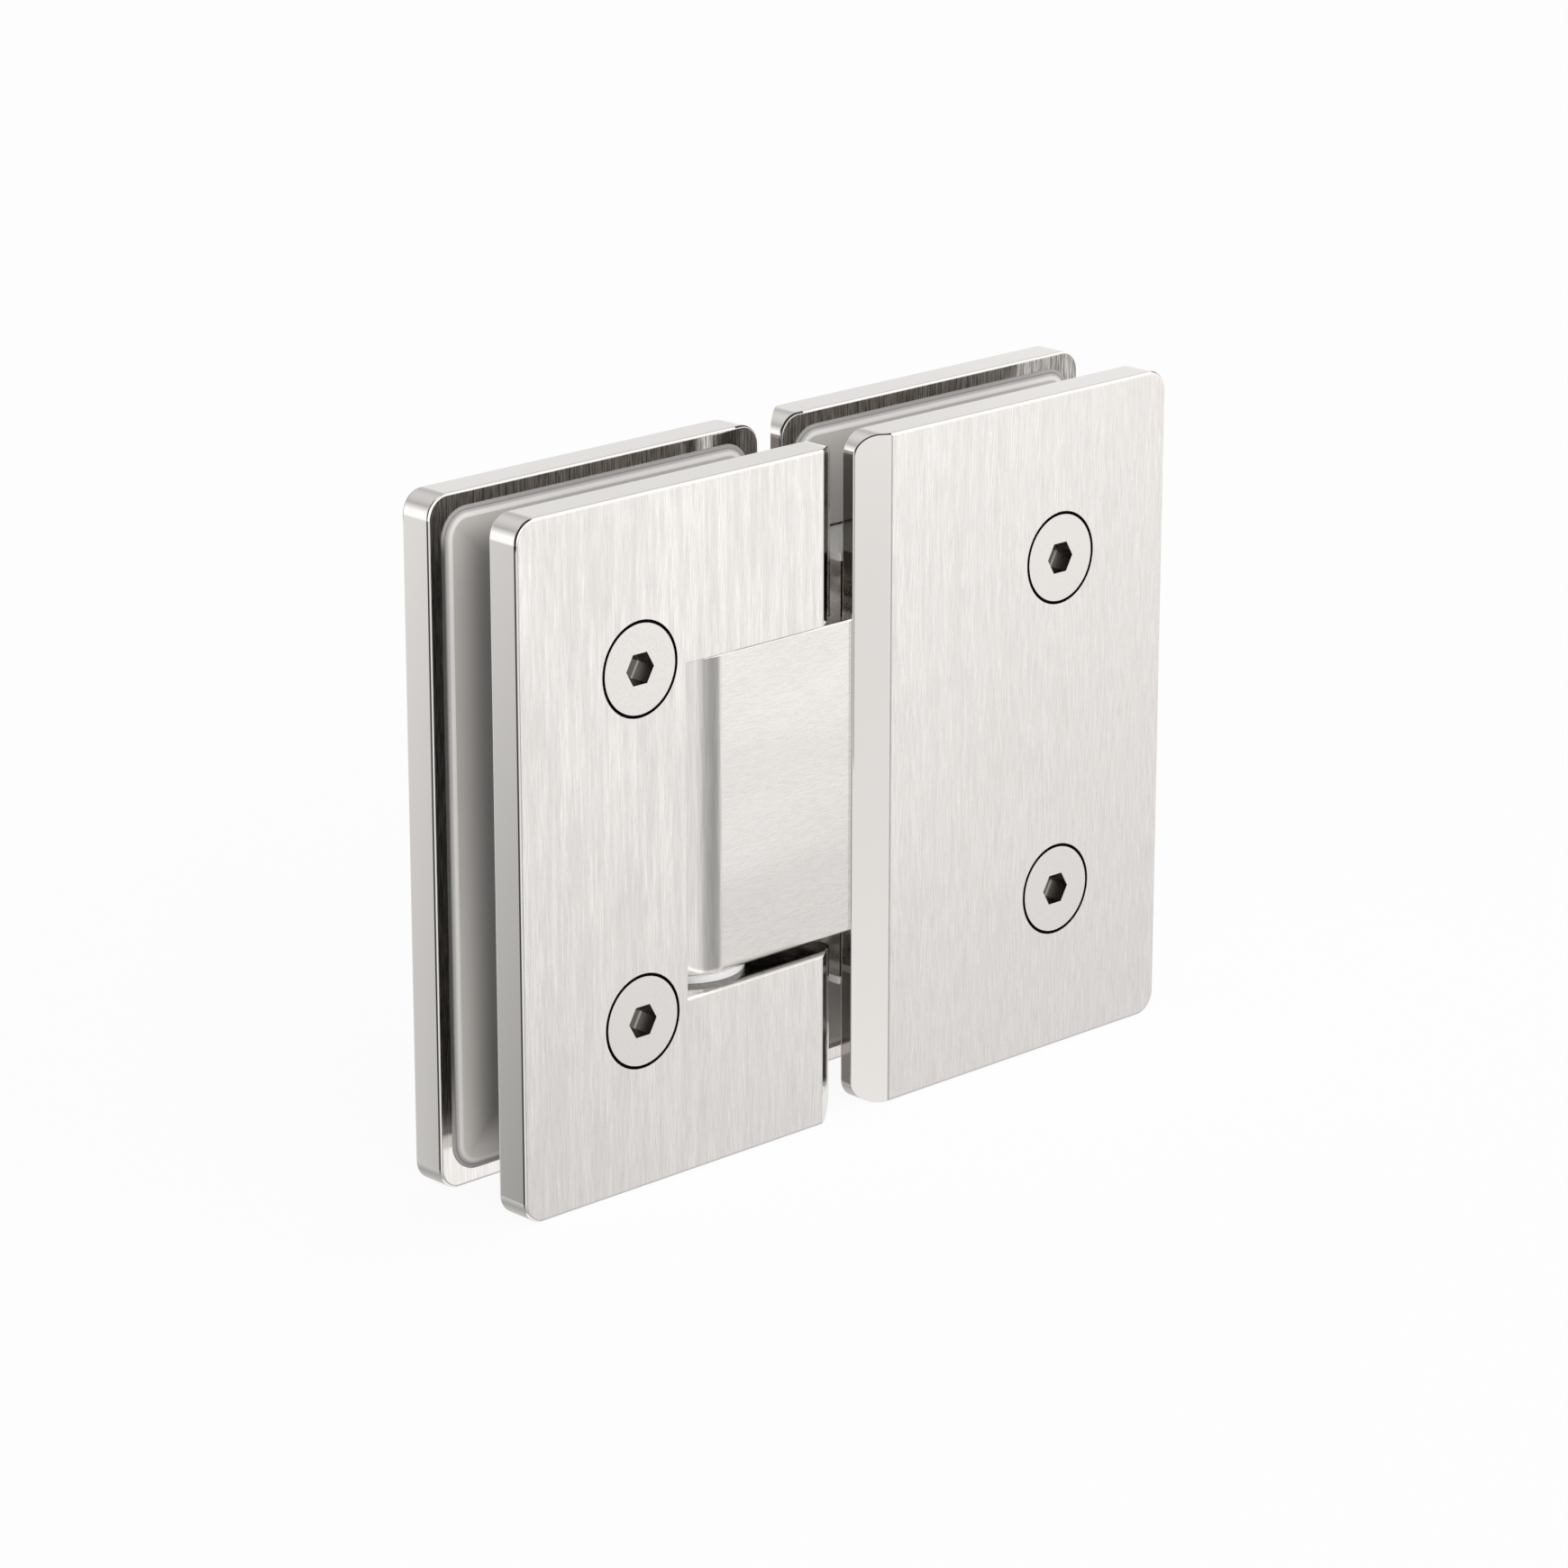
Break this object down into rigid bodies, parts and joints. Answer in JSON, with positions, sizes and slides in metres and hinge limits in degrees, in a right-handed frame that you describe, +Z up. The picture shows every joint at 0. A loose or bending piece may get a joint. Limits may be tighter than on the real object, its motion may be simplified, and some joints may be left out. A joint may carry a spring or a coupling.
{
  "type": "glass door hinge",
  "caption": "Double-action glass-to-glass door hinge with flat clamp plates, rubber-lined glass slots and a notched pivot knuckle on a vertical pin.",
  "frame": {"origin": "centre of the bounding box's foot: midway between the two pairs of plates and midway through their depth, at the plates' lower edges", "axes": "+Z up along the pivot pin, +X from the fixed side to the door side, -Y towards the front plates with the clamp screws"},
  "size_m": [0.114, 0.021, 0.09],
  "materials": {
    "plate_steel": "fine vertical brushing",
    "screw_steel": "satin",
    "core_steel": "polished",
    "knuckle_steel": "fine horizontal grain",
    "pin_steel": "ground",
    "gasket": "matt grey",
    "liner": "matt light grey",
    "bush": "matt white nylon"
  },
  "bodies": {
    "fixed_side": {"left_front_plate": "plate_steel", "left_back_plate": "plate_steel", "left_front_gasket": "gasket", "left_back_gasket": "gasket", "pivot_housing": "core_steel", "housing_liner": "liner", "pivot_pin": "pin_steel", "upper_pin_screw": "pin_steel", "lower_pin_screw": "pin_steel", "upper_left_clamp_screw": "screw_steel", "lower_left_clamp_screw": "screw_steel", "housing_screws": "screw_steel"},
    "door_side": {"right_front_plate": "plate_steel", "right_back_plate": "plate_steel", "right_front_gasket": "gasket", "right_back_gasket": "gasket", "pivot_block": "knuckle_steel", "block_liner": "liner", "upper_bush": "bush", "lower_bush": "bush", "upper_spring": "pin_steel", "lower_spring": "pin_steel", "upper_spring_plug": "pin_steel", "lower_spring_plug": "pin_steel", "upper_right_clamp_screw": "screw_steel", "lower_right_clamp_screw": "screw_steel", "block_screws": "screw_steel"},
    "upper_follower": {"upper_cam_follower": "pin_steel"},
    "lower_follower": {"lower_cam_follower": "pin_steel"}
  },
  "joints": [
    {"name": "door_swing", "type": "hinge", "parent": "fixed_side", "child": "door_side", "pos_m": [-0.0205, 0, 0], "axis": [0, 0, 1], "range_deg": [-90, 90]},
    {"name": "upper_follower_slide", "type": "slide", "parent": "door_side", "child": "upper_follower", "axis": [-1, 0, 0], "range_m": [0, 0.0006]},
    {"name": "lower_follower_slide", "type": "slide", "parent": "door_side", "child": "lower_follower", "axis": [-1, 0, 0], "range_m": [0, 0.0006]}
  ],
  "couplings": [
    {"joint": "lower_follower_slide", "follows": "upper_follower_slide", "ratio": 1}
  ]
}
